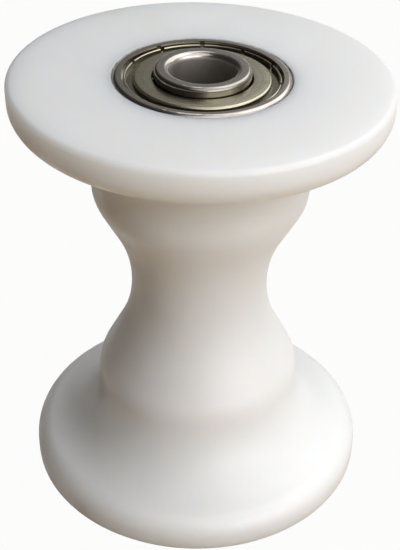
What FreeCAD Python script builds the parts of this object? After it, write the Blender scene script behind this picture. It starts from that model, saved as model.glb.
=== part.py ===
import FreeCAD, Part
import Sketcher
import math
import os

# Hourglass guide roller, standing on one end with its turning axis along Z.
# A moulded wheel with two end flanges and a saddle groove carries a shielded ball
# bearing pressed into each end. The inner rings stand proud as collars, and a
# tube between them holds them apart when an axle bolt is tightened.
# The origin is at the middle of the wheel, on the axis. All sizes are in millimetres.

# Each row gives a size's name, its value and what it measures.
SIZES = [
    ("flange_diameter", 47.2, "outside of the end flanges"),
    ("rim_height", 2.3, "straight rim of each flange, with the round at its face"),
    ("flange_face_round", 0.7, "round between the end face and the rim"),
    ("flange_back_round", 2.7, "round between the rim and the back of the flange"),
    ("cove_radius", 8.8, "hollow sweep from the back of the flange to the shoulder"),
    ("shoulder_length", 0.6, "straight length of each shoulder"),
    ("shoulder_round", 5.9, "round where the shoulder turns into the saddle"),
    ("saddle_wall_length", 4.4, "straight length of the sloping saddle wall"),
    ("saddle_wall_angle", 28, "slope of the saddle wall from the axis in degrees"),
    ("saddle_radius", 17.9, "hollow at the middle of the saddle"),
    ("waist_diameter", 18.4, "smallest diameter of the saddle"),
    ("bearing_bore", 8, "hole for the axle"),
    ("bearing_outside", 22, "outer ring, pressed into the wheel"),
    ("bearing_width", 7, "outer ring along the axis"),
    ("bearing_proud", 0.12, "how far the outer ring stands out of the wheel"),
    ("ring_round", 0.6, "edges of the outer ring"),
    ("land_width", 1.12, "flat end face of the outer ring"),
    ("collar_height", 0.95, "inner ring beyond the outer ring at each side"),
    ("collar_round", 0.5, "outer edges of the inner ring"),
    ("bore_round", 0.8, "edges of the axle hole"),
    ("ball_count", 7, "balls in each bearing"),
    ("ball_diameter", 3.969, "ball of five thirty seconds of an inch"),
    ("ball_play", 0.04, "gap between a ball and its races"),
    ("inner_race_depth", 0.52, "race below the outside of the inner ring"),
    ("outer_race_depth", 0.8, "race below the inside of the outer ring"),
    ("shield_sheet", 0.25, "thickness of the shield's steel sheet"),
    ("shield_pocket_depth", 1.1, "step in the outer ring that the shield sits on"),
    ("shield_lip", 0.2, "shield edge held in the groove of the outer ring"),
    ("shield_fit", 0.02, "gap between the shield's edge and the outer ring"),
    ("shield_gap", 0.2, "gap between the shield and the inner ring"),
    ("bead_gap", 0.25, "gap between the shield's bead and the outer ring"),
    ("bead_width", 0.32, "rolled bead at the edge of the shield"),
    ("bead_drop", 0.3, "top of the bead below the end face of the ring"),
    ("bead_round", 0.14, "edges of the bead"),
    ("shield_channel", 0.84, "sunk channel inside the bead"),
    ("plate_drop", 0.25, "shield plate below the end face of the ring"),
    ("plate_round", 0.3, "outer edge of the shield plate"),
    ("notch_count", 11, "notches pressed in the bead"),
    ("notch_width", 0.5, "width of a notch"),
    ("notch_depth", 0.5, "depth of a notch"),
    ("notch_turn", 25.1, "angle of the first notch round the shield, in degrees"),
    ("cage_sheet", 0.25, "thickness of the cage's steel strip"),
    ("cage_width", 1.1, "cage strip from its inner to its outer edge"),
    ("cage_play", 0.1, "gap between a ball and its cage pocket"),
    ("rivet_diameter", 0.6, "shank of a cage rivet"),
    ("rivet_fit", 0.02, "gap between a rivet and its hole"),
    ("rivet_head_diameter", 1.0, "head of a cage rivet"),
    ("rivet_head_height", 0.2, "thickness of a rivet head"),
    ("seat_ledge", 1.5, "ledge in the wheel that stops the outer ring"),
    ("relief_gap", 0.8, "free space behind the inner ring"),
    ("tube_wall", 1.0, "wall of the distance tube, which has the same hole as the bearings"),
    ("tube_gap", 0.5, "gap between the distance tube and the wheel"),
]

# Sizes that follow from those above, worked out in the sheet itself.
WORKED_OUT = [
    ("flange_radius", "flange_diameter / 2"),
    ("waist_radius", "waist_diameter / 2"),
    ("saddle_centre", "waist_radius + saddle_radius"),
    ("saddle_turn", "saddle_radius + shoulder_round"),
    ("saddle_end", "saddle_turn * sin(saddle_wall_angle) + saddle_wall_length * cos(saddle_wall_angle)"),
    ("saddle_rise", "saddle_turn * (1 - cos(saddle_wall_angle)) + saddle_wall_length * sin(saddle_wall_angle)"),
    ("shoulder_radius", "waist_radius + saddle_rise"),
    ("cove_start", "saddle_end + shoulder_length"),
    ("flange_turn", "cove_radius + flange_back_round"),
    ("flange_overlap", "flange_turn - (flange_radius - shoulder_radius)"),
    ("rim_start", "cove_start + sqrt(flange_turn ^ 2 - flange_overlap ^ 2)"),
    ("wheel_end", "rim_start + rim_height"),
    ("bore_radius", "bearing_bore / 2"),
    ("ring_radius", "bearing_outside / 2"),
    ("ring_end", "bearing_width / 2"),
    ("bearing_height", "wheel_end + bearing_proud - ring_end"),
    ("collar_end", "ring_end + collar_height"),
    ("pitch_radius", "(bore_radius + ring_radius) / 2"),
    ("ball_radius", "ball_diameter / 2"),
    ("race_radius", "ball_radius + ball_play"),
    ("collar_radius", "pitch_radius - race_radius + inner_race_depth"),
    ("ring_inside", "pitch_radius + race_radius - outer_race_depth"),
    ("land_radius", "ring_radius - land_width"),
    ("pocket_floor", "ring_end - shield_pocket_depth"),
    ("lip_groove_radius", "land_radius + shield_lip"),
    ("lip_groove_top", "pocket_floor + shield_sheet + shield_fit"),
    ("lip_radius", "lip_groove_radius - shield_fit"),
    ("channel_floor", "pocket_floor + shield_sheet"),
    ("bead_outside", "land_radius - bead_gap"),
    ("bead_inside", "bead_outside - bead_width"),
    ("bead_top", "ring_end - bead_drop"),
    ("plate_radius", "bead_inside - shield_channel"),
    ("plate_wall_inside", "plate_radius - shield_sheet"),
    ("plate_top", "ring_end - plate_drop"),
    ("plate_underside", "plate_top - shield_sheet"),
    ("shield_hole", "collar_radius + shield_gap"),
    ("cage_inside", "pitch_radius - cage_width / 2"),
    ("cage_outside", "pitch_radius + cage_width / 2"),
    ("pocket_radius", "ball_radius + cage_play"),
    ("pocket_outside", "pocket_radius + cage_sheet"),
    ("cage_trim", "pitch_radius + pocket_outside + cage_width"),
    ("rivet_angle", "180 / ball_count"),
    ("rivet_hole_radius", "rivet_diameter / 2 + rivet_fit"),
    ("rivet_top", "cage_sheet + rivet_head_height"),
    ("seat_floor", "wheel_end + bearing_proud - bearing_width"),
    ("relief_radius", "ring_radius - seat_ledge"),
    ("tube_end", "bearing_height - collar_end"),
    ("relief_floor", "tube_end - relief_gap"),
    ("tube_radius", "bore_radius + tube_wall"),
    ("wheel_bore", "tube_radius + tube_gap"),
]

SIDE_UP = FreeCAD.Rotation()
SIDE_DOWN = FreeCAD.Rotation(FreeCAD.Vector(1, 0, 0), 180)
SKETCH_NORMAL = FreeCAD.Vector(0, 0, 1)
FULL_TURN = 360

document = FreeCAD.newDocument("GuideRoller")
sheet = document.addObject("Spreadsheet::Sheet", "Sizes")
sub_parts = []


def fill_sheet():
    """Write the driving sizes and the sizes that follow from them into named cells."""
    rows = [(alias, str(value), note) for alias, value, note in SIZES]
    rows += [(alias, "=" + formula, "worked out") for alias, formula in WORKED_OUT]
    for row, (alias, content, note) in enumerate(rows, start=1):
        sheet.set(f"A{row}", note)
        sheet.set(f"B{row}", content)
        sheet.setAlias(f"B{row}", alias)
    document.recompute()


def size(name):
    """Return the value of a named size, negative where the name has a minus sign."""
    if name.startswith("-"):
        return -sheet.get(name[1:])
    return sheet.get(name)


def bound(name):
    """Return the expression that ties a property to a named size."""
    if name.startswith("-"):
        return "-Sizes." + name[1:]
    return "Sizes." + name


def origin_feature(body, role):
    """Return the plane or axis of a body's own origin that has this role."""
    return next(item for item in body.Origin.OriginFeatures if item.Role == role)


def new_body(label):
    """Start a sub-part whose file is named by its label."""
    body = document.addObject("PartDesign::Body", label)
    body.Label = label
    sub_parts.append(body)
    return body


def new_sketch(body, name, plane="XZ_Plane", height=None):
    """Start a sketch on one of the body's origin planes, raised to a named height if one is given."""
    sketch = body.newObject("Sketcher::SketchObject", name)
    sketch.AttachmentSupport = [(origin_feature(body, plane), "")]
    sketch.MapMode = "FlatFace"
    if height:
        sketch.setExpression("AttachmentOffset.Base.z", bound(height))
    return sketch


def constrain(sketch, *terms):
    """Add one constraint to a sketch and return its number."""
    return sketch.addConstraint(Sketcher.Constraint(*terms))


def dimension(sketch, name, *terms):
    """Add one dimension to a sketch, tied to a named size."""
    index = constrain(sketch, *terms, size(name))
    sketch.setExpression(f"Constraints[{index}]", bound(name))


def add_line(sketch, start, end):
    """Add a straight line between two points and return its number."""
    return sketch.addGeometry(Part.LineSegment(start, end), False)


def add_arc(sketch, centre, start, end):
    """Add the shorter arc from start to end, and return its number and its first and last point."""
    first = start - centre
    last = end - centre
    forward = first.x * last.y - first.y * last.x > 0
    low, high = (first, last) if forward else (last, first)
    low_angle = math.atan2(low.y, low.x)
    high_angle = math.atan2(high.y, high.x)
    circle = Part.Circle(centre, SKETCH_NORMAL, first.Length)
    arc = sketch.addGeometry(Part.ArcOfCircle(circle, low_angle, high_angle), False)
    return (arc, 1, 2) if forward else (arc, 2, 1)


def add_circle(sketch, radius_name, centre_name=None):
    """Add a circle of a named radius on the sketch's first axis, at the origin or a named distance."""
    distance = size(centre_name) if centre_name else 0
    circle = Part.Circle(FreeCAD.Vector(distance, 0, 0), SKETCH_NORMAL, size(radius_name))
    number = sketch.addGeometry(circle, False)
    if centre_name:
        constrain(sketch, "PointOnObject", number, 3, -1)
        dimension(sketch, centre_name, "DistanceX", -1, 1, number, 3)
    else:
        constrain(sketch, "Coincident", number, 3, -1, 1)
    dimension(sketch, radius_name, "Radius", number)


def draw_walls(sketch, walls, rounds, open_ends=None):
    """Draw an outline of upright and level walls in turn, with some of its corners rounded.

    A wall is "upright" at a named radius or "level" at a named height. rounds maps the
    number of a wall to the name of the round between it and the next one. The outline is
    closed, unless open_ends names the heights at which its first and last walls stop.
    """
    places = [size(name) for kind, name in walls]
    count = len(walls)
    corners = []
    for number in range(count):
        following = (number + 1) % count
        across = places[number] if walls[number][0] == "upright" else places[following]
        along = places[following] if walls[number][0] == "upright" else places[number]
        corners.append(FreeCAD.Vector(across, along, 0))
    starts = [corners[number - 1] for number in range(count)]
    ends = list(corners)
    if open_ends:
        starts[0] = FreeCAD.Vector(places[0], size(open_ends[0]), 0)
        ends[-1] = FreeCAD.Vector(places[-1], size(open_ends[1]), 0)
    directions = [(ends[number] - starts[number]).normalize() for number in range(count)]
    arcs = {}
    for number, round_name in rounds.items():
        following = (number + 1) % count
        reach = size(round_name)
        before = corners[number] - directions[number] * reach
        after = corners[number] + directions[following] * reach
        arcs[number] = add_arc(sketch, before + after - corners[number], before, after)
        ends[number] = before
        starts[following] = after
    lines = [add_line(sketch, starts[number], ends[number]) for number in range(count)]
    for number, (kind, name) in enumerate(walls):
        upright = kind == "upright"
        constrain(sketch, "Vertical" if upright else "Horizontal", lines[number])
        dimension(sketch, name, "DistanceX" if upright else "DistanceY", -1, 1, lines[number], 1)
    for number in range(count - 1 if open_ends else count):
        following = lines[(number + 1) % count]
        if number in arcs:
            arc, first, last = arcs[number]
            constrain(sketch, "Tangent", lines[number], 2, arc, first)
            constrain(sketch, "Tangent", arc, last, following, 1)
            dimension(sketch, rounds[number], "Radius", arc)
        else:
            constrain(sketch, "Coincident", lines[number], 2, following, 1)
    return lines


def turn(body, name, sketch, feature="Revolution"):
    """Turn a sketch round the axis, as a solid or as a groove cut out of one."""
    turned = body.newObject("PartDesign::" + feature, name)
    turned.Profile = sketch
    turned.ReferenceAxis = (sketch, ["V_Axis"])
    turned.Angle = FULL_TURN
    sketch.Visibility = False
    return turned


def repeat(body, name, features, count_name):
    """Repeat features evenly round the axis."""
    pattern = body.newObject("PartDesign::PolarPattern", name)
    pattern.Originals = features
    pattern.Axis = (origin_feature(body, "Z_Axis"), [""])
    pattern.Angle = FULL_TURN
    pattern.setExpression("Occurrences", bound(count_name))
    body.Tip = pattern
    return pattern


def place(sub_part, height_name, rotation=SIDE_UP):
    """Set a sub-part at a named height on the axis, turned over if asked."""
    sub_part.Placement = FreeCAD.Placement(FreeCAD.Vector(0, 0, 0), rotation)
    sub_part.setExpression("Placement.Base.z", bound(height_name))


def set_out(feature, across_formula, along_formula="0", height_formula="0"):
    """Set a primitive of a body out from the body's origin by formulas of named sizes."""
    feature.setExpression("AttachmentOffset.Base.x", across_formula)
    feature.setExpression("AttachmentOffset.Base.y", along_formula)
    feature.setExpression("AttachmentOffset.Base.z", height_formula)


def draw_side(sketch, side):
    """Draw the wheel's outline from a rim down to the saddle, at the upper (1) or lower (-1) side.

    Returns the numbers of the pieces with the points at which each starts and ends.
    """
    slope = math.radians(size("saddle_wall_angle"))
    rim_foot = FreeCAD.Vector(size("flange_radius"), side * size("rim_start"), 0)
    back_centre = rim_foot - FreeCAD.Vector(size("flange_back_round"), 0, 0)
    shoulder_top = FreeCAD.Vector(size("shoulder_radius"), side * size("cove_start"), 0)
    cove_centre = shoulder_top + FreeCAD.Vector(size("cove_radius"), 0, 0)
    between = (cove_centre - back_centre).normalize()
    back_foot = back_centre + between * size("flange_back_round")
    shoulder_foot = FreeCAD.Vector(size("shoulder_radius"), side * size("saddle_end"), 0)
    crown = shoulder_foot - FreeCAD.Vector(size("shoulder_round"), 0, 0)
    outward = FreeCAD.Vector(math.cos(slope), -side * math.sin(slope), 0)
    wall_top = crown + outward * size("shoulder_round")
    wall_foot = FreeCAD.Vector(size("saddle_centre"), 0, 0) - outward * size("saddle_radius")
    back = add_arc(sketch, back_centre, rim_foot, back_foot)
    cove = add_arc(sketch, cove_centre, back_foot, shoulder_top)
    shoulder = (add_line(sketch, shoulder_top, shoulder_foot), 1, 2)
    corner = add_arc(sketch, crown, shoulder_foot, wall_top)
    wall = (add_line(sketch, wall_top, wall_foot), 1, 2)
    sign = "" if side > 0 else "-"
    dimension(sketch, "flange_back_round", "Radius", back[0])
    dimension(sketch, "cove_radius", "Radius", cove[0])
    dimension(sketch, "shoulder_round", "Radius", corner[0])
    constrain(sketch, "Vertical", shoulder[0])
    dimension(sketch, "shoulder_radius", "DistanceX", -1, 1, shoulder[0], 1)
    dimension(sketch, sign + "cove_start", "DistanceY", -1, 1, shoulder[0], 1)
    dimension(sketch, sign + "saddle_end", "DistanceY", -1, 1, shoulder[0], 2)
    return [back, cove, shoulder, corner, wall], wall_foot


def draw_saddle(sketch, upper_rim, lower_rim):
    """Join the two rims: a cove behind each flange, a shoulder, and the saddle between the shoulders."""
    upper, upper_foot = draw_side(sketch, 1)
    lower, lower_foot = draw_side(sketch, -1)
    hollow = FreeCAD.Vector(size("saddle_centre"), 0, 0)
    groove = add_arc(sketch, hollow, upper_foot, lower_foot)
    constrain(sketch, "PointOnObject", groove[0], 3, -1)
    dimension(sketch, "saddle_centre", "DistanceX", -1, 1, groove[0], 3)
    dimension(sketch, "saddle_radius", "Radius", groove[0])
    chain = [(upper_rim, 2, 1)] + upper + [groove]
    chain += [(number, last, first) for number, first, last in reversed(lower)]
    chain += [(lower_rim, 2, 1)]
    for (before, _, before_end), (after, after_start, _) in zip(chain, chain[1:]):
        constrain(sketch, "Tangent", before, before_end, after, after_start)


def make_wheel():
    """Make the moulded wheel: two flanges, the saddle between them and a bearing seat in each end."""
    body = new_body("roller_body")
    sketch = new_sketch(body, "wheel_outline")
    upper = [
        ("upright", "flange_radius"),
        ("level", "wheel_end"),
        ("upright", "ring_radius"),
        ("level", "seat_floor"),
        ("upright", "relief_radius"),
        ("level", "relief_floor"),
    ]
    lower = [(kind, "-" + name if kind == "level" else name) for kind, name in reversed(upper)]
    walls = upper + [("upright", "wheel_bore")] + lower
    rounds = {0: "flange_face_round", len(walls) - 2: "flange_face_round"}
    lines = draw_walls(sketch, walls, rounds, ("rim_start", "-rim_start"))
    draw_saddle(sketch, lines[0], lines[-1])
    turn(body, "wheel", sketch)


def cut_race(body):
    """Cut the ball race round a bearing ring."""
    sketch = new_sketch(body, body.Label + "_race_outline")
    add_circle(sketch, "race_radius", "pitch_radius")
    turn(body, body.Label + "_race", sketch, "Groove")


def make_outer_ring(label, height_name):
    """Make an outer ring with its race, and a step and a groove for a shield at each face."""
    body = new_body(label)
    sketch = new_sketch(body, label + "_outline")
    upper = [
        ("level", "ring_end"),
        ("upright", "land_radius"),
        ("level", "lip_groove_top"),
        ("upright", "lip_groove_radius"),
        ("level", "pocket_floor"),
    ]
    lower = [(kind, "-" + name if kind == "level" else name) for kind, name in reversed(upper)]
    walls = [("upright", "ring_radius")] + upper + [("upright", "ring_inside")] + lower
    draw_walls(sketch, walls, {0: "ring_round", len(walls) - 1: "ring_round"})
    turn(body, label + "_blank", sketch)
    cut_race(body)
    place(body, height_name)


def make_inner_ring(label, height_name):
    """Make an inner ring with its race, long enough to stand out as a collar at both sides."""
    body = new_body(label)
    sketch = new_sketch(body, label + "_outline")
    walls = [
        ("upright", "collar_radius"),
        ("level", "collar_end"),
        ("upright", "bore_radius"),
        ("level", "-collar_end"),
    ]
    rounds = {0: "collar_round", 1: "bore_round", 2: "bore_round", 3: "collar_round"}
    draw_walls(sketch, walls, rounds)
    turn(body, label + "_blank", sketch)
    cut_race(body)
    place(body, height_name)


def make_shield(label, height_name, rotation):
    """Make a pressed sheet shield with a raised plate, a sunk channel and a notched bead."""
    body = new_body(label)
    sketch = new_sketch(body, label + "_outline")
    walls = [
        ("upright", "shield_hole"),
        ("level", "plate_top"),
        ("upright", "plate_radius"),
        ("level", "channel_floor"),
        ("upright", "bead_inside"),
        ("level", "bead_top"),
        ("upright", "bead_outside"),
        ("level", "channel_floor"),
        ("upright", "lip_radius"),
        ("level", "pocket_floor"),
        ("upright", "plate_wall_inside"),
        ("level", "plate_underside"),
    ]
    draw_walls(sketch, walls, {1: "plate_round", 4: "bead_round", 5: "bead_round"})
    turn(body, label + "_sheet", sketch)
    notch = body.newObject("PartDesign::SubtractiveBox", label + "_notch")
    notch.AttachmentSupport = [(origin_feature(body, "XY_Plane"), "")]
    notch.MapMode = "FlatFace"
    notch.setExpression("Length", "Sizes.bead_width + Sizes.notch_width")
    notch.setExpression("Width", "Sizes.notch_width")
    notch.setExpression("Height", "Sizes.notch_depth")
    start = "(Sizes.bead_inside - Sizes.notch_width / 2)"
    half = "Sizes.notch_width / 2"
    angle = "Sizes.notch_turn"
    across = f"{start} * cos({angle}) + {half} * sin({angle})"
    away = f"{start} * sin({angle}) - {half} * cos({angle})"
    set_out(notch, across, away, "Sizes.bead_top - Sizes.notch_depth")
    notch.setExpression("AttachmentOffset.Rotation.Angle", angle)
    repeat(body, label + "_notches", [notch], "notch_count")
    place(body, height_name, rotation)


def add_pocket(body, name, kind, radius_name, lowest):
    """Add or cut a ball shape at the place of each ball in a cage half."""
    ball = body.newObject("PartDesign::" + kind, name)
    ball.AttachmentSupport = [(origin_feature(body, "XY_Plane"), "")]
    ball.MapMode = "FlatFace"
    ball.Angle1 = lowest
    ball.setExpression("Radius", bound(radius_name))
    set_out(ball, "Sizes.pitch_radius")
    repeat(body, name + "s", [ball], "ball_count")


def add_rivet_cylinder(body, name, kind, radius_formula, height_formula, foot_formula):
    """Add or cut a cylinder midway between two balls."""
    cylinder = body.newObject("PartDesign::" + kind, name)
    cylinder.AttachmentSupport = [(origin_feature(body, "XY_Plane"), "")]
    cylinder.MapMode = "FlatFace"
    cylinder.setExpression("Radius", radius_formula)
    cylinder.setExpression("Height", height_formula)
    across = "Sizes.pitch_radius * cos(Sizes.rivet_angle)"
    along = "Sizes.pitch_radius * sin(Sizes.rivet_angle)"
    set_out(cylinder, across, along, foot_formula)
    return cylinder


def make_cage_half(label, height_name, rotation):
    """Make one half of a ribbon cage: a flat strip with a domed pocket over each ball."""
    body = new_body(label)
    strip = new_sketch(body, label + "_strip_outline", "XY_Plane")
    add_circle(strip, "cage_inside")
    add_circle(strip, "cage_outside")
    pad = body.newObject("PartDesign::Pad", label + "_strip")
    pad.Profile = strip
    pad.setExpression("Length", "Sizes.cage_sheet")
    add_pocket(body, label + "_dome", "AdditiveSphere", "pocket_outside", 0)
    trim = new_sketch(body, label + "_trim_outline", "XY_Plane")
    for radius_name in ("cage_inside", "cage_outside", "cage_trim"):
        add_circle(trim, radius_name)
    cut = body.newObject("PartDesign::Pocket", label + "_trim")
    cut.Profile = trim
    cut.Type = "ThroughAll"
    cut.Reversed = True
    add_pocket(body, label + "_pocket", "SubtractiveSphere", "pocket_radius", -90)
    hole = add_rivet_cylinder(
        body, label + "_rivet_hole", "SubtractiveCylinder",
        "Sizes.rivet_hole_radius", "Sizes.cage_sheet", "0",
    )
    repeat(body, label + "_rivet_holes", [hole], "ball_count")
    place(body, height_name, rotation)


def make_rivets(label, height_name):
    """Make the rivets that hold the two halves of a cage together, as one group."""
    body = new_body(label)
    body.AllowCompound = True
    shank = add_rivet_cylinder(
        body, label + "_shank", "AdditiveCylinder",
        "Sizes.rivet_diameter / 2", "2 * Sizes.cage_sheet", "-Sizes.cage_sheet",
    )
    features = [shank]
    for end, foot in (("upper", "Sizes.cage_sheet"), ("lower", "-Sizes.rivet_top")):
        head = add_rivet_cylinder(
            body, f"{label}_{end}_head", "AdditiveCylinder",
            "Sizes.rivet_head_diameter / 2", "Sizes.rivet_head_height", foot,
        )
        features.append(head)
    repeat(body, label + "_group", features, "ball_count")
    place(body, height_name)


def make_balls(prefix, height_name):
    """Make the balls of one bearing, evenly spaced round the pitch circle."""
    for number in range(int(size("ball_count"))):
        label = f"{prefix}_ball_{number + 1}"
        ball = document.addObject("Part::Sphere", label)
        ball.Label = label
        ball.setExpression("Radius", "Sizes.ball_radius")
        angle = f"{number} * {FULL_TURN} / Sizes.ball_count"
        ball.setExpression("Placement.Base.x", f"Sizes.pitch_radius * cos({angle})")
        ball.setExpression("Placement.Base.y", f"Sizes.pitch_radius * sin({angle})")
        ball.setExpression("Placement.Base.z", bound(height_name))
        sub_parts.append(ball)


def make_bearing(prefix, height_name, outward, inward):
    """Make all the pieces of one bearing."""
    make_outer_ring(prefix + "_outer_ring", height_name)
    make_inner_ring(prefix + "_inner_ring", height_name)
    make_shield(prefix + "_outer_shield", height_name, outward)
    make_shield(prefix + "_inner_shield", height_name, inward)
    make_cage_half(prefix + "_cage_outer_half", height_name, outward)
    make_cage_half(prefix + "_cage_inner_half", height_name, inward)
    make_rivets(prefix + "_cage_rivets", height_name)
    make_balls(prefix, height_name)


def make_distance_tube():
    """Make the tube that holds the two inner rings apart."""
    body = new_body("distance_tube")
    sketch = new_sketch(body, "tube_outline")
    walls = [
        ("upright", "tube_radius"),
        ("level", "tube_end"),
        ("upright", "bore_radius"),
        ("level", "-tube_end"),
    ]
    draw_walls(sketch, walls, {})
    turn(body, "tube", sketch)


def check_and_write():
    """Stop if any object failed or any sub-part has no sound solid, then write each sub-part."""
    for item in document.Objects:
        if "Invalid" in item.State or "Error" in item.State:
            raise RuntimeError(f"{item.Label} failed: {item.State}")
    for sub_part in sub_parts:
        shape = sub_part.Shape
        if shape.isNull() or not shape.isValid() or not shape.Solids:
            raise RuntimeError(f"{sub_part.Label} has no sound solid")
    os.makedirs("parts", exist_ok=True)
    for sub_part in sub_parts:
        sub_part.Shape.exportStep(f"parts/{sub_part.Label}.step")
        print(f"{sub_part.Label}: {len(sub_part.Shape.Solids)} solid, {sub_part.Shape.Volume:.2f} mm3")


fill_sheet()
make_wheel()
make_bearing("upper", "bearing_height", SIDE_UP, SIDE_DOWN)
make_bearing("lower", "-bearing_height", SIDE_DOWN, SIDE_UP)
make_distance_tube()
document.recompute()
check_and_write()
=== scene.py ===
"""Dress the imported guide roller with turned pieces, finishes, light, a floor and a camera."""

from __future__ import annotations

import logging
import math
from dataclasses import dataclass, field
from enum import Enum
from typing import Any

import bpy
from mathutils import Matrix, Vector

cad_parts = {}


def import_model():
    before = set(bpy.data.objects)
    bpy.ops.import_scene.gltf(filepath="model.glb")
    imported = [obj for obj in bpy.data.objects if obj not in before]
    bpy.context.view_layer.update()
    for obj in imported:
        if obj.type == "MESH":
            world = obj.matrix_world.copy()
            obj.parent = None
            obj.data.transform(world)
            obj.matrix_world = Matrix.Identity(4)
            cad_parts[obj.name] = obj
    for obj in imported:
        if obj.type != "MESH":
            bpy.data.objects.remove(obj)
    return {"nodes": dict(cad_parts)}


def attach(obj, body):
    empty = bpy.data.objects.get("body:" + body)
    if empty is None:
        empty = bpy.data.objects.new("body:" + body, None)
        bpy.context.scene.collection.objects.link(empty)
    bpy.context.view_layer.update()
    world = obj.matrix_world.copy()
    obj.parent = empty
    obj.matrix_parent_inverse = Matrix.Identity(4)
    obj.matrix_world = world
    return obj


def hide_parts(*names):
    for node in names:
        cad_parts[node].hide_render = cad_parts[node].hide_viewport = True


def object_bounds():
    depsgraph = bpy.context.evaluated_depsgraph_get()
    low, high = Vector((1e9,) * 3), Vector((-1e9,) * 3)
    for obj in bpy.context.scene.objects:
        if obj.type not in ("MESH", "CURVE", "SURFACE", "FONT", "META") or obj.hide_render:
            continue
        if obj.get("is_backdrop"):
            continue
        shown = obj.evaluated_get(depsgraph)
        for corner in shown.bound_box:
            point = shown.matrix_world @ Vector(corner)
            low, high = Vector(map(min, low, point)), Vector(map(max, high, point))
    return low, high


LOG = logging.getLogger("guide_roller")
MM = 0.001
SHARP_ANGLE = math.radians(32)
Colour = tuple[float, float, float]
Range = tuple[float, float]
Outline = list[tuple[float, float]]


class End(Enum):
    """The two ends of the wheel, with the way each one faces along the axis."""

    UPPER = 1
    LOWER = -1

    @property
    def prefix(self) -> str:
        """Return the word that this end's CAD nodes start with."""
        return self.name.lower()


class Grain(Enum):
    """How the marks of a finish run over the piece."""

    TURNED = "rings round the axis"
    TUMBLED = "specks all over"


class NodeSheet:
    """Adds the nodes of one tree and joins them."""

    def __init__(self, tree: bpy.types.NodeTree) -> None:
        """Keep the tree that is written to."""
        self.tree = tree

    def add(self, kind: str, inputs: dict[Any, Any] | None = None, **settings: Any) -> bpy.types.Node:
        """Add a node.

        Args:
            kind: Blender's name of the node type.
            inputs: a value, or the socket of another node, for each input by its name or number.
            settings: the node's own properties.

        Returns:
            The new node.
        """
        node = self.tree.nodes.new(kind)
        for name, value in settings.items():
            setattr(node, name, value)
        for key, value in (inputs or {}).items():
            if isinstance(value, bpy.types.NodeSocket):
                self.tree.links.new(value, node.inputs[key])
            else:
                node.inputs[key].default_value = value
        return node

    def math(self, operation: str, *values: Any) -> bpy.types.NodeSocket:
        """Add a sum of one, two or three numbers.

        Args:
            operation: Blender's name of the operation.
            values: numbers or sockets.

        Returns:
            The socket that holds the result.
        """
        return self.add("ShaderNodeMath", dict(enumerate(values)), operation=operation).outputs[0]

    def between(self, share: Any, low: Any, high: Any) -> bpy.types.NodeSocket:
        """Mix two colours.

        Args:
            share: how much of the second colour, from 0 to 1.
            low: the first colour or its socket.
            high: the second colour or its socket.

        Returns:
            The socket that holds the mixed colour.
        """
        inputs = {0: share}
        for number, colour in ((6, low), (7, high)):
            inputs[number] = colour if isinstance(colour, bpy.types.NodeSocket) else (*colour, 1.0)
        return self.add("ShaderNodeMix", inputs, data_type="RGBA", clamp_factor=True).outputs[2]

    def span(self, value: Any, low: float, high: float, start: float, end: float) -> bpy.types.NodeSocket:
        """Stretch a number from one range to another and stop it at both ends.

        Args:
            value: the number or socket.
            low: where the first range starts.
            high: where the first range ends.
            start: what low becomes.
            end: what high becomes.

        Returns:
            The socket that holds the result.
        """
        inputs = {0: value, 1: low, 2: high, 3: start, 4: end}
        return self.add("ShaderNodeMapRange", inputs, clamp=True).outputs[0]

    def distance(self, across: bpy.types.NodeSocket, along: bpy.types.NodeSocket) -> bpy.types.NodeSocket:
        """Work out how far a point lies from the axis.

        Args:
            across: its first coordinate.
            along: its second coordinate.

        Returns:
            The socket that holds the distance.
        """
        squares = [self.math("MULTIPLY", value, value) for value in (across, along)]
        return self.math("SQRT", self.math("ADD", *squares))


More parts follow.
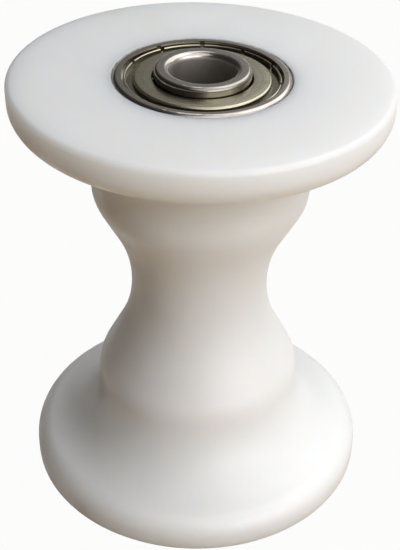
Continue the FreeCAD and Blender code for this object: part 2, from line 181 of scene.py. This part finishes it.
class SurfaceSheet(NodeSheet):
    """The nodes of one material, with its shader and its coordinates ready."""

    def __init__(self, name: str) -> None:
        """Start a material.

        Args:
            name: the material's name.
        """
        self.material = bpy.data.materials.new(name)
        self.material.use_nodes = True
        super().__init__(self.material.node_tree)
        self.tree.nodes.clear()
        self.shader = self.add("ShaderNodeBsdfPrincipled")
        self.add("ShaderNodeOutputMaterial", {"Surface": self.shader.outputs[0]})
        self.place = self.add("ShaderNodeTexCoord").outputs["Object"]
        parts = self.add("ShaderNodeSeparateXYZ", {0: self.place}).outputs
        self.radius = self.distance(parts[0], parts[1])
        self.height = self.math("ABSOLUTE", parts[2])
        self.turned = self.add("ShaderNodeCombineXYZ", {0: self.radius, 1: self.height}).outputs[0]

    def noise(self, vector: bpy.types.NodeSocket, size: float, detail: float = 2.0) -> bpy.types.NodeSocket:
        """Add a noise.

        Args:
            vector: the coordinates that it runs over.
            size: the size of its features in metres.
            detail: how many finer layers it has.

        Returns:
            The socket that holds the noise, about 0.5 on average.
        """
        inputs = {"Vector": vector, "Scale": 1.0 / size, "Detail": detail}
        return self.add("ShaderNodeTexNoise", inputs).outputs[0]

    def marks(self, grain: Grain, size: float) -> bpy.types.NodeSocket:
        """Add the marks that a tool left.

        Args:
            grain: how they run.
            size: how far apart they are, in metres.

        Returns:
            The socket that holds them, about 0.5 on average.
        """
        vector = self.turned if grain is Grain.TURNED else self.place
        return self.noise(vector, size, 3.0)

    def raise_marks(self, marks: bpy.types.NodeSocket, strength: float, depth: float) -> None:
        """Let marks stand out of the surface.

        Args:
            marks: their height from 0 to 1.
            strength: how much of them shows.
            depth: their depth in metres.
        """
        bump = self.add("ShaderNodeBump", {"Strength": strength, "Distance": depth, "Height": marks})
        self.tree.links.new(bump.outputs[0], self.shader.inputs["Normal"])

    def put(self, name: str, value: Any) -> None:
        """Set one input of the shader to a value or a socket.

        Args:
            name: the input's name.
            value: a plain value, or the socket of another node.
        """
        if isinstance(value, bpy.types.NodeSocket):
            self.tree.links.new(value, self.shader.inputs[name])
        else:
            self.shader.inputs[name].default_value = value


@dataclass(frozen=True)
class NylonFinish:
    """White nylon turned on a lathe: slightly clear, with a soft sheen and fine tool rings."""

    slot: str = "white_nylon"
    clean: Colour = (0.88, 0.878, 0.872)
    cloudy: Colour = (0.86, 0.856, 0.845)
    seat_band_colour: Colour = (0.10, 0.095, 0.08)
    cloud_size: float = 14 * MM
    cloud_range: Range = (0.35, 0.7)
    speck_size: float = 1.3 * MM
    rub_size: float = 5 * MM
    rub_range: Range = (0.3, 0.7)
    ring_size: float = 0.22 * MM
    ring_depth: float = 0.02 * MM
    ring_strength: float = 0.12
    seat_radius: float = 11 * MM
    seat_start: float = 22 * MM
    band_reach: float = 0.16 * MM
    band_share: float = 1.5
    gloss_low: float = 0.36
    gloss_high: float = 0.5
    refraction: float = 1.53
    glow_depth: float = 4.4 * MM
    glow_spread: Colour = (1.0, 0.9, 0.78)

    def material(self) -> bpy.types.Material:
        """Return the material, with a thin darker band round the bearing seats."""
        sheet = SurfaceSheet(self.slot)
        clouds = sheet.noise(sheet.place, self.cloud_size, 4.0)
        share = sheet.span(clouds, *self.cloud_range, 0.0, 1.0)
        body = sheet.between(share, self.clean, self.cloudy)
        # A thin darker band, broken up by specks, at the edge of each bearing seat.
        band_end = self.seat_radius + self.band_reach
        near_seat = sheet.span(sheet.radius, self.seat_radius, band_end, self.band_share, 0.0)
        specks = sheet.noise(sheet.place, self.speck_size, 3.0)
        at_end = sheet.math("GREATER_THAN", sheet.height, self.seat_start)
        darkening = sheet.math("MULTIPLY", sheet.math("MULTIPLY", near_seat, specks), at_end)
        sheet.put("Base Color", sheet.between(darkening, body, self.seat_band_colour))
        rubbed = sheet.noise(sheet.place, self.rub_size, 3.0)
        sheet.put("Roughness", sheet.span(rubbed, *self.rub_range, self.gloss_low, self.gloss_high))
        sheet.put("IOR", self.refraction)
        sheet.put("Subsurface Weight", 1.0)
        sheet.put("Subsurface Radius", self.glow_spread)
        sheet.put("Subsurface Scale", self.glow_depth)
        rings = sheet.marks(Grain.TURNED, self.ring_size)
        sheet.raise_marks(rings, self.ring_strength, self.ring_depth)
        return sheet.material


@dataclass(frozen=True)
class SteelFinish:
    """Bare steel with tool marks, smudges, and painted shade in the hole for the axle, on the collar's wall
    and in the shield's groove.
    """

    slot: str
    colour: Colour
    stain: Colour
    gloss_low: float
    gloss_high: float
    grain: Grain = Grain.TURNED
    mark_size: float = 0.1 * MM
    mark_depth: float = 0.004 * MM
    mark_strength: float = 0.25
    mark_weight: float = 0.6
    gloss_range: Range = (0.35, 0.65)
    stain_size: float = 2.5 * MM
    stain_range: Range = (0.4, 0.75)
    # Colour of the painted shade in the hole, on the collar's wall and in the shield's groove.
    darkening: Colour = (0.13, 0.12, 0.095)
    bore_radius: float = 4.02 * MM
    bore_fade: float = 0.1 * MM
    bore_gloss: float = 0.6
    bore_top: float = 29.8 * MM
    bore_deep: float = 25.5 * MM
    top_shade: float = 0.1
    deep_shade: float = 0.6
    groove_inside: float = 8.45 * MM
    groove_outside: float = 9.33 * MM
    groove_shade: float = 0.75
    collar_edge: float = 5.5 * MM
    collar_wall: float = 5.95 * MM
    collar_outside: float = 6.1 * MM
    collar_shade: float = 0.7

    def painted_shade_shares(self, sheet: SurfaceSheet, in_bore: bpy.types.NodeSocket) -> list[bpy.types.NodeSocket]:
        """Work out how much painted shade darkens the steel.

        Args:
            sheet: the material's sheet.
            in_bore: 1 on the wall of the hole for the axle, and 0 elsewhere.

        Returns:
            The sockets of the shares in the hole, on the collar's wall and in the shield's groove.
        """
        # Painted shade: darker deeper in the hole, on the collar's wall and its rounded top edge, and in the
        # shield's groove.
        depth = sheet.span(sheet.height, self.bore_deep, self.bore_top, self.deep_shade, self.top_shade)
        wall = sheet.span(sheet.radius, self.collar_edge, self.collar_wall, 0.0, self.collar_shade)
        on_collar = sheet.math("LESS_THAN", sheet.radius, self.collar_outside)
        past = sheet.math("GREATER_THAN", sheet.radius, self.groove_inside)
        before = sheet.math("LESS_THAN", sheet.radius, self.groove_outside)
        in_groove = sheet.math("MULTIPLY", past, before)
        return [
            sheet.math("MULTIPLY", in_bore, depth),
            sheet.math("MULTIPLY", wall, on_collar),
            sheet.math("MULTIPLY", in_groove, self.groove_shade),
        ]

    def material(self) -> bpy.types.Material:
        """Return the material, which is duller in the hole for the axle, with painted shade there, on the
        collar's wall and in the shield's groove.
        """
        sheet = SurfaceSheet(self.slot)
        marks = sheet.marks(self.grain, self.mark_size)
        smudges = sheet.noise(sheet.place, self.stain_size, 4.0)
        steel = sheet.between(sheet.span(smudges, *self.stain_range, 0.0, 1.0), self.colour, self.stain)
        bore_end = self.bore_radius + self.bore_fade
        in_bore = sheet.span(sheet.radius, self.bore_radius, bore_end, 1.0, 0.0)
        # Mix in the painted shade.
        for share in self.painted_shade_shares(sheet, in_bore):
            steel = sheet.between(share, steel, self.darkening)
        sheet.put("Base Color", steel)
        sheet.put("Metallic", 1.0)
        tooled = sheet.math("MULTIPLY", marks, self.mark_weight)
        smudged = sheet.math("MULTIPLY", smudges, 1.0 - self.mark_weight)
        wear = sheet.math("ADD", tooled, smudged)
        gloss = sheet.span(wear, *self.gloss_range, self.gloss_low, self.gloss_high)
        dull = sheet.math("MULTIPLY", in_bore, self.bore_gloss)
        sheet.put("Roughness", sheet.math("MAXIMUM", gloss, dull))
        sheet.raise_marks(marks, self.mark_strength, self.mark_depth)
        return sheet.material


class TurnedPiece:
    """A piece whose outline is turned round the axis by a Geometry Nodes tree."""

    def __init__(self, name: str, outline: Outline, segments: int) -> None:
        """Keep what the piece is made from.

        Args:
            name: the piece's name.
            outline: its closed outline as radius and height in metres.
            segments: how many steps make a full turn.
        """
        self.name = name
        self.outline = outline
        self.segments = segments

    def outline_mesh(self) -> bpy.types.Mesh:
        """Return the outline as a ring of edges, set out from the mean radius."""
        count = len(self.outline)
        points = [(radius - self.mean_radius(), -height, 0.0) for radius, height in self.outline]
        edges = [(number, (number + 1) % count) for number in range(count)]
        mesh = bpy.data.meshes.new(self.name + "_outline")
        mesh.from_pydata(points, edges, [])
        return mesh

    def mean_radius(self) -> float:
        """Return the radius of the circle that the outline is swept along."""
        radii = [radius for radius, _ in self.outline]
        return (min(radii) + max(radii)) / 2

    def start_tree(self) -> tuple[NodeSheet, bpy.types.NodeSocket, bpy.types.Node]:
        """Start the tree with its named inputs and the turned surface.

        Returns:
            The tree's sheet, the socket of the turned surface, and the group's input node.
        """
        tree = bpy.data.node_groups.new(self.name + "_tree", "GeometryNodeTree")
        sockets = (
            ("Outline", "NodeSocketGeometry"),
            ("Mean Radius", "NodeSocketFloat"),
            ("Segments", "NodeSocketInt"),
            ("Finish", "NodeSocketMaterial"),
        )
        for name, kind in sockets:
            tree.interface.new_socket(name, in_out="INPUT", socket_type=kind)
        tree.interface.new_socket("Piece", in_out="OUTPUT", socket_type="NodeSocketGeometry")
        sheet = NodeSheet(tree)
        given = sheet.add("NodeGroupInput")
        profile = sheet.add("GeometryNodeMeshToCurve", {"Mesh": given.outputs["Outline"]})
        circle = sheet.add(
            "GeometryNodeCurvePrimitiveCircle",
            {"Resolution": given.outputs["Segments"], "Radius": given.outputs["Mean Radius"]},
        )
        upright = sheet.add("GeometryNodeSetCurveNormal", {"Curve": circle.outputs["Curve"]}, mode="Z_UP")
        turned = sheet.add(
            "GeometryNodeCurveToMesh",
            {"Curve": upright.outputs["Curve"], "Profile Curve": profile.outputs["Curve"]},
        )
        return sheet, turned.outputs["Mesh"], given

    def shape(self, sheet: NodeSheet, surface: bpy.types.NodeSocket) -> bpy.types.NodeSocket:
        """Return the surface as it is: a plain turned piece gets no further shape."""
        return surface

    def build(self, finish: bpy.types.Material) -> bpy.types.Object:
        """Make the piece.

        Args:
            finish: its material.

        Returns:
            The piece as a plain mesh, in place.
        """
        sheet, surface, given = self.start_tree()
        surface = self.shape(sheet, surface)
        smooth = sheet.add("GeometryNodeSetShadeSmooth", {"Geometry": surface})
        dressed = sheet.add(
            "GeometryNodeSetMaterial", {"Geometry": smooth.outputs[0], "Material": given.outputs["Finish"]}
        )
        sheet.add("NodeGroupOutput", {"Piece": dressed.outputs[0]})
        carrier = bpy.data.objects.new(self.name + "_carrier", self.outline_mesh())
        bpy.context.scene.collection.objects.link(carrier)
        modifier = carrier.modifiers.new("turn", "NODES")
        modifier.node_group = sheet.tree
        values = {"Mean Radius": self.mean_radius(), "Segments": self.segments, "Finish": finish}
        for item in sheet.tree.interface.items_tree:
            if item.in_out == "INPUT" and item.name in values:
                modifier[item.identifier] = values[item.name]
        graph = bpy.context.evaluated_depsgraph_get()
        mesh = bpy.data.meshes.new_from_object(carrier.evaluated_get(graph), depsgraph=graph)
        carrier.modifiers.remove(modifier)
        bpy.data.objects.remove(carrier)
        mesh.name = self.name
        mesh.set_sharp_from_angle(angle=SHARP_ANGLE)
        piece = bpy.data.objects.new(self.name, mesh)
        bpy.context.scene.collection.objects.link(piece)
        return piece


def sweep(centre: tuple[float, float], radius: float, start: float, end: float, steps: int) -> Outline:
    """Return points along an arc of an outline.

    Args:
        centre: radius and height of the arc's centre.
        radius: the arc's own radius.
        start: the angle of its first point in degrees, from the outward direction.
        end: the angle of its last point in degrees.
        steps: how many steps it has.

    Returns:
        The points, with both ends.
    """
    points = []
    for step in range(steps + 1):
        angle = math.radians(start + (end - start) * step / steps)
        points.append((centre[0] + radius * math.cos(angle), centre[1] + radius * math.sin(angle)))
    return points


@dataclass
class Wheel:
    """The moulded wheel: two flanges, a cove behind each, and a saddle between them."""

    flange_radius: float = 23.6 * MM
    rim_height: float = 2.3 * MM
    face_round: float = 0.7 * MM
    back_round: float = 2.7 * MM
    cove_radius: float = 8.8 * MM
    shoulder_length: float = 0.6 * MM
    shoulder_round: float = 5.9 * MM
    wall_length: float = 4.4 * MM
    wall_angle: float = 28.0
    saddle_radius: float = 17.9 * MM
    waist_radius: float = 9.2 * MM
    seat_radius: float = 11.0 * MM
    seat_depth: float = 6.88 * MM
    seat_chamfer: float = 0.12 * MM
    relief_radius: float = 9.5 * MM
    relief_depth: float = 8.63 * MM
    hole_radius: float = 5.5 * MM
    saddle_steps: int = 20
    crown_steps: int = 12
    cove_steps: int = 24
    back_steps: int = 16
    corner_steps: int = 8
    segments: int = 256
    finish: NylonFinish = field(default_factory=NylonFinish)

    def upper_outline(self) -> Outline:
        """Return the outline from the waist over the upper flange and down into its bearing seat."""
        slope = math.radians(self.wall_angle)
        turn = self.saddle_radius + self.shoulder_round
        saddle_end = turn * math.sin(slope) + self.wall_length * math.cos(slope)
        rise = turn * (1 - math.cos(slope)) + self.wall_length * math.sin(slope)
        shoulder = self.waist_radius + rise
        cove_start = saddle_end + self.shoulder_length
        reach = self.cove_radius + self.back_round
        overlap = reach - (self.flange_radius - shoulder)
        lean = math.degrees(math.asin(overlap / reach))
        rim_start = cove_start + math.sqrt(reach**2 - overlap**2)
        end = rim_start + self.rim_height
        saddle = (self.waist_radius + self.saddle_radius, 0.0)
        crown = (shoulder - self.shoulder_round, saddle_end)
        cove = (shoulder + self.cove_radius, cove_start)
        back = (self.flange_radius - self.back_round, rim_start)
        corner = (self.flange_radius - self.face_round, end - self.face_round)
        outline = sweep(saddle, self.saddle_radius, 180, 180 - self.wall_angle, self.saddle_steps)
        outline += sweep(crown, self.shoulder_round, -self.wall_angle, 0, self.crown_steps)
        outline += sweep(cove, self.cove_radius, 180, 90 + lean, self.cove_steps)
        outline += sweep(back, self.back_round, lean - 90, 0, self.back_steps)[1:]
        outline += sweep(corner, self.face_round, 0, 90, self.corner_steps)
        outline += [
            (self.seat_radius + self.seat_chamfer, end),
            (self.seat_radius, end - self.seat_chamfer),
            (self.seat_radius, end - self.seat_depth),
            (self.relief_radius, end - self.seat_depth),
            (self.relief_radius, end - self.relief_depth),
            (self.hole_radius, end - self.relief_depth),
        ]
        return outline

    def build(self) -> bpy.types.Object:
        """Make the wheel and set it on the body that turns.

        Returns:
            The wheel.
        """
        upper = self.upper_outline()
        lower = [(radius, -height) for radius, height in reversed(upper[1:])]
        wheel = TurnedPiece("nylon_wheel", upper + lower, self.segments).build(self.finish.material())
        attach(wheel, "roller")
        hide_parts("roller_body")
        return wheel


@dataclass
class Shield(TurnedPiece):
    """A pressed sheet shield: raised plate, sunk channel, and a bead slit by notches."""

    end: End
    middle: float
    ring_end: float = 3.5 * MM
    hole_radius: float = 6.1955 * MM
    plate_radius: float = 8.47 * MM
    plate_drop: float = 0.25 * MM
    plate_round: float = 0.3 * MM
    sheet: float = 0.25 * MM
    pocket_depth: float = 1.1 * MM
    bead_inside: float = 9.31 * MM
    bead_outside: float = 9.63 * MM
    bead_drop: float = 0.3 * MM
    bead_round: float = 0.14 * MM
    lip_radius: float = 10.06 * MM
    notch_count: int = 11
    notch_width: float = 0.5 * MM
    notch_depth: float = 0.5 * MM
    notch_turn: float = 25.1
    notch_reach: float = 0.01 * MM
    edge_share: float = 0.4
    corner_steps: int = 6
    turn_steps: int = 720

    def __post_init__(self) -> None:
        """Work out the outline from the sizes."""
        side = self.end.value
        outline = [(radius, side * (self.middle + height)) for radius, height in self.half_outline()]
        super().__init__(self.end.prefix + "_notched_shield", outline, self.turn_steps)

    def half_outline(self) -> Outline:
        """Return the outline with its heights counted from the middle of the bearing."""
        plate = self.ring_end - self.plate_drop
        floor = self.ring_end - self.pocket_depth
        channel = floor + self.sheet
        bead = self.ring_end - self.bead_drop
        plate_corner = (self.plate_radius - self.plate_round, plate - self.plate_round)
        inner_corner = (self.bead_inside + self.bead_round, bead - self.bead_round)
        outer_corner = (self.bead_outside - self.bead_round, bead - self.bead_round)
        edge = self.sheet * self.edge_share / 2
        outline = [(self.hole_radius, plate - edge), (self.hole_radius + edge, plate)]
        outline += sweep(plate_corner, self.plate_round, 90, 0, self.corner_steps)
        outline += [(self.plate_radius, channel), (self.bead_inside, channel)]
        outline += sweep(inner_corner, self.bead_round, 180, 90, self.corner_steps)
        outline += sweep(outer_corner, self.bead_round, 90, 0, self.corner_steps)
        outline += [(self.bead_outside, channel), (self.lip_radius, channel), (self.lip_radius, floor)]
        inside = self.plate_radius - self.sheet
        outline += [(inside, floor), (inside, plate - self.sheet), (self.hole_radius, plate - self.sheet)]
        return outline

    def shape(self, sheet: NodeSheet, surface: bpy.types.NodeSocket) -> bpy.types.NodeSocket:
        """Press the notches into the bead.

        Args:
            sheet: the tree's sheet.
            surface: the turned surface.

        Returns:
            The socket of the notched surface.
        """
        place = sheet.add("GeometryNodeInputPosition").outputs[0]
        parts = sheet.add("ShaderNodeSeparateXYZ", {0: place}).outputs
        radius = sheet.distance(parts[0], parts[1])
        pitch = math.tau / self.notch_count
        start = pitch / 2 - self.end.value * math.radians(self.notch_turn)
        angle = sheet.math("ADD", sheet.math("ARCTAN2", parts[1], parts[0]), start)
        turn = sheet.math("SUBTRACT", sheet.math("FLOORED_MODULO", angle, pitch), pitch / 2)
        offset = sheet.math("MULTIPLY", sheet.math("ABSOLUTE", turn), radius)
        inside = sheet.math("LESS_THAN", offset, self.notch_width / 2)
        on_bead = sheet.math("GREATER_THAN", radius, self.bead_inside - self.notch_reach)
        height = sheet.math("MULTIPLY", parts[2], float(self.end.value))
        lowest = self.middle + self.ring_end - self.bead_drop - self.notch_depth
        drop = sheet.math("MAXIMUM", sheet.math("SUBTRACT", height, lowest), 0.0)
        drop = sheet.math("MULTIPLY", drop, sheet.math("MULTIPLY", inside, on_bead))
        shift = sheet.math("MULTIPLY", drop, -float(self.end.value))
        vector = sheet.add("ShaderNodeCombineXYZ", {2: shift}).outputs[0]
        moved = sheet.add("GeometryNodeSetPosition", {"Geometry": surface, "Offset": vector})
        return moved.outputs[0]


@dataclass
class Bearing:
    """One ball bearing: its outer shield is pressed here, and its other pieces are the CAD nodes."""

    end: End
    middle: float = 25.9116 * MM
    ring: SteelFinish = SteelFinish("ring_steel", (0.43, 0.39, 0.36), (0.33, 0.30, 0.27), 0.16, 0.3)
    shield: SteelFinish = SteelFinish("shield_steel", (0.44, 0.41, 0.31), (0.36, 0.33, 0.25), 0.2, 0.36)
    cage: SteelFinish = SteelFinish(
        "cage_steel", (0.52, 0.50, 0.46), (0.40, 0.38, 0.34), 0.3, 0.5, Grain.TUMBLED, 0.3 * MM
    )
    ball: SteelFinish = SteelFinish(
        "ball_steel",
        (0.74, 0.74, 0.74),
        (0.66, 0.66, 0.66),
        0.05,
        0.14,
        Grain.TUMBLED,
        0.5 * MM,
        0.001 * MM,
    )

    def finish_of(self, node: str) -> SteelFinish:
        """Return the finish of a CAD node of this bearing."""
        words = (("shield", self.shield), ("cage", self.cage), ("ball", self.ball))
        return next((finish for word, finish in words if word in node), self.ring)

    def build(self, nodes: dict[str, bpy.types.Object], finishes: FinishBook) -> None:
        """Dress the CAD nodes of this bearing and press its outer shield.

        Args:
            nodes: every CAD node by its name.
            finishes: the materials that are made so far.
        """
        for name, node in nodes.items():
            if name.startswith(self.end.prefix):
                finishes.dress(node, self.finish_of(name))
        shield = Shield(self.end, self.middle).build(finishes.material(self.shield))
        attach(shield, "roller")
        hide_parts(self.end.prefix + "_outer_shield")
        LOG.info("%s bearing dressed, with %s", self.end.prefix, shield.name)


class FinishBook:
    """Makes the material of each finish once."""

    def __init__(self) -> None:
        """Start with no materials."""
        self.made: dict[str, bpy.types.Material] = {}

    def material(self, finish: SteelFinish) -> bpy.types.Material:
        """Return the material of a finish, made when it is first asked for."""
        if finish.slot not in self.made:
            self.made[finish.slot] = finish.material()
        return self.made[finish.slot]

    def dress(self, node: bpy.types.Object, finish: SteelFinish) -> None:
        """Give every slot of a CAD node the material of a finish."""
        for slot in node.material_slots:
            slot.material = self.material(finish)


@dataclass
class Lamp:
    """A soft square lamp that points at the wheel."""

    name: str
    place: tuple[float, float, float]
    size: float
    power: float
    colour: Colour = (1.0, 1.0, 1.0)

    def build(self) -> None:
        """Hang the lamp."""
        light = bpy.data.lights.new(self.name, "AREA")
        light.size = self.size
        light.energy = self.power
        light.color = self.colour
        lamp = bpy.data.objects.new(self.name, light)
        lamp.location = self.place
        lamp.rotation_euler = (-Vector(self.place)).to_track_quat("-Z", "Y").to_euler()
        bpy.context.scene.collection.objects.link(lamp)


@dataclass
class Camera:
    """The camera, with its place, aim and lens measured from the photograph."""

    distance: float = 154.9151 * MM
    rise: float = 34.7819
    pan: float = -2.6151
    tilt: float = -3.2441
    roll: float = -1.1024
    focal: float = 1130.5478
    centre: tuple[float, float] = (250.0, 340.0)
    frame: tuple[int, int] = (400, 550)
    sensor: float = 36.0

    def matrix(self) -> Matrix:
        """Return the camera's place and turn."""
        rise = math.radians(self.rise)
        place = Vector((0.0, -self.distance * math.cos(rise), self.distance * math.sin(rise)))
        ahead = -place.normalized()
        right = Vector((1.0, 0.0, 0.0))
        up = right.cross(ahead)
        turn = Matrix.Rotation(math.radians(self.pan), 3, up)
        ahead, right = turn @ ahead, turn @ right
        turn = Matrix.Rotation(math.radians(self.tilt), 3, right)
        ahead, up = turn @ ahead, turn @ up
        turn = Matrix.Rotation(math.radians(self.roll), 3, ahead)
        up, right = turn @ up, turn @ right
        matrix = Matrix((right, up, -ahead)).transposed().to_4x4()
        matrix.translation = place
        return matrix

    def build(self) -> None:
        """Set the camera up."""
        data = bpy.data.cameras.new("camera")
        data.sensor_fit = "VERTICAL"
        data.sensor_height = self.sensor
        data.lens = self.focal * self.sensor / self.frame[1]
        data.shift_x = (self.frame[0] / 2 - self.centre[0]) / self.frame[1]
        data.shift_y = (self.centre[1] - self.frame[1] / 2) / self.frame[1]
        data.clip_start = 0.01
        camera = bpy.data.objects.new("camera", data)
        camera.matrix_world = self.matrix()
        bpy.context.scene.collection.objects.link(camera)
        bpy.context.scene.camera = camera


@dataclass
class Studio:
    """A plain pale floor, soft light and the camera."""

    floor_height: float
    floor_reach: float = 3.0
    floor_colour: Colour = (0.39, 0.27, 0.14)
    glow: float = 0.97
    wall_colour: Colour = (0.99, 0.99, 0.99)
    dim_side: Colour = (0.05, 0.05, 0.045)
    window_side: Colour = (0.6, 0.6, 0.58)
    wall_top: float = 0.02
    room_start: float = 0.12
    dim_reach: float = -0.35
    window_reach: float = 0.45
    lamps: tuple[Lamp, ...] = (
        Lamp("window", (0.335, -0.319, 0.5515), 1.15, 5.0, (0.985, 0.99, 1.0)),
        Lamp("low_window", (0.455, -0.526, 0.19), 0.75, 3.0, (0.97, 0.985, 1.0)),
        Lamp("back_window", (0.29, 0.359, 0.5515), 0.64, 2.55, (0.96, 0.98, 1.0)),
    )
    camera: Camera = field(default_factory=Camera)

    def seen_directly(self, sheet: NodeSheet) -> bpy.types.NodeSocket:
        """Return 1 where the camera, a mirror or glass looks, and 0 for light that falls on other things."""
        path = sheet.add("ShaderNodeLightPath").outputs
        mirrored = sheet.math("MAXIMUM", path["Is Glossy Ray"], path["Is Transmission Ray"])
        return sheet.math("MAXIMUM", path["Is Camera Ray"], mirrored)

    def lay_floor(self) -> None:
        """Lay the floor, which looks white and keeps a light shadow."""
        material = bpy.data.materials.new("studio_floor")
        material.use_nodes = True
        sheet = NodeSheet(material.node_tree)
        sheet.tree.nodes.clear()
        paint = sheet.add("ShaderNodeBsdfDiffuse", {"Color": (*self.floor_colour, 1.0)})
        white = sheet.add("ShaderNodeEmission", {"Color": (1.0, 1.0, 1.0, 1.0), "Strength": 1.0})
        share = sheet.math("MULTIPLY", self.seen_directly(sheet), self.glow)
        mix = sheet.add("ShaderNodeMixShader", {0: share, 1: paint.outputs[0], 2: white.outputs[0]})
        sheet.add("ShaderNodeOutputMaterial", {"Surface": mix.outputs[0]})
        reach = self.floor_reach
        mesh = bpy.data.meshes.new("studio_floor")
        corners = [(-reach, -reach), (reach, -reach), (reach, reach), (-reach, reach)]
        mesh.from_pydata([(x, y, self.floor_height) for x, y in corners], [], [(0, 1, 2, 3)])
        mesh.materials.append(material)
        floor = bpy.data.objects.new("studio_floor", mesh)
        bpy.context.scene.collection.objects.link(floor)
        floor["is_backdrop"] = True

    def paint_room(self) -> None:
        """Paint the room: white for the camera, while metal sees it dim above and lighter at the window."""
        world = bpy.data.worlds.new("studio_room")
        world.use_nodes = True
        sheet = NodeSheet(world.node_tree)
        sheet.tree.nodes.clear()
        way = sheet.add("ShaderNodeTexCoord").outputs["Generated"]
        parts = sheet.add("ShaderNodeSeparateXYZ", {0: way}).outputs
        side = sheet.span(parts[0], self.dim_reach, self.window_reach, 0.0, 1.0)
        walls = sheet.between(side, self.dim_side, self.window_side)
        above = sheet.span(parts[2], self.wall_top, self.room_start, 0.0, 1.0)
        camera_ray = sheet.add("ShaderNodeLightPath").outputs["Is Camera Ray"]
        share = sheet.math("MULTIPLY", above, sheet.math("SUBTRACT", 1.0, camera_ray))
        colour = sheet.between(share, self.wall_colour, walls)
        room = sheet.add("ShaderNodeBackground", {"Color": colour, "Strength": self.seen_directly(sheet)})
        sheet.add("ShaderNodeOutputWorld", {"Surface": room.outputs[0]})
        bpy.context.scene.world = world

    def build(self) -> None:
        """Set the whole studio up."""
        self.lay_floor()
        self.paint_room()
        for lamp in self.lamps:
            lamp.build()
        self.camera.build()
        bpy.context.scene.view_settings.view_transform = "Standard"


def numbers(bounds: Any) -> list[list[float]]:
    """Return a box's two corners as plain lists."""
    return [[float(value) for value in corner] for corner in bounds]


def main() -> None:
    """Build the dressed roller and its studio in order."""
    logging.basicConfig(level=logging.INFO, format="%(message)s")
    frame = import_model()
    solid_box = numbers(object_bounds())
    nodes = frame["nodes"]
    wheel = Wheel().build()
    LOG.info("wheel turned: %s", wheel.name)
    finishes = FinishBook()
    for end in End:
        Bearing(end).build(nodes, finishes)
    tube = SteelFinish("tube_steel", (0.52, 0.51, 0.49), (0.42, 0.41, 0.39), 0.25, 0.42)
    finishes.dress(nodes["distance_tube"], tube)
    LOG.info("distance tube dressed")
    Studio(floor_height=solid_box[0][2]).build()
    LOG.info("studio ready")


if __name__ == "__main__":
    main()
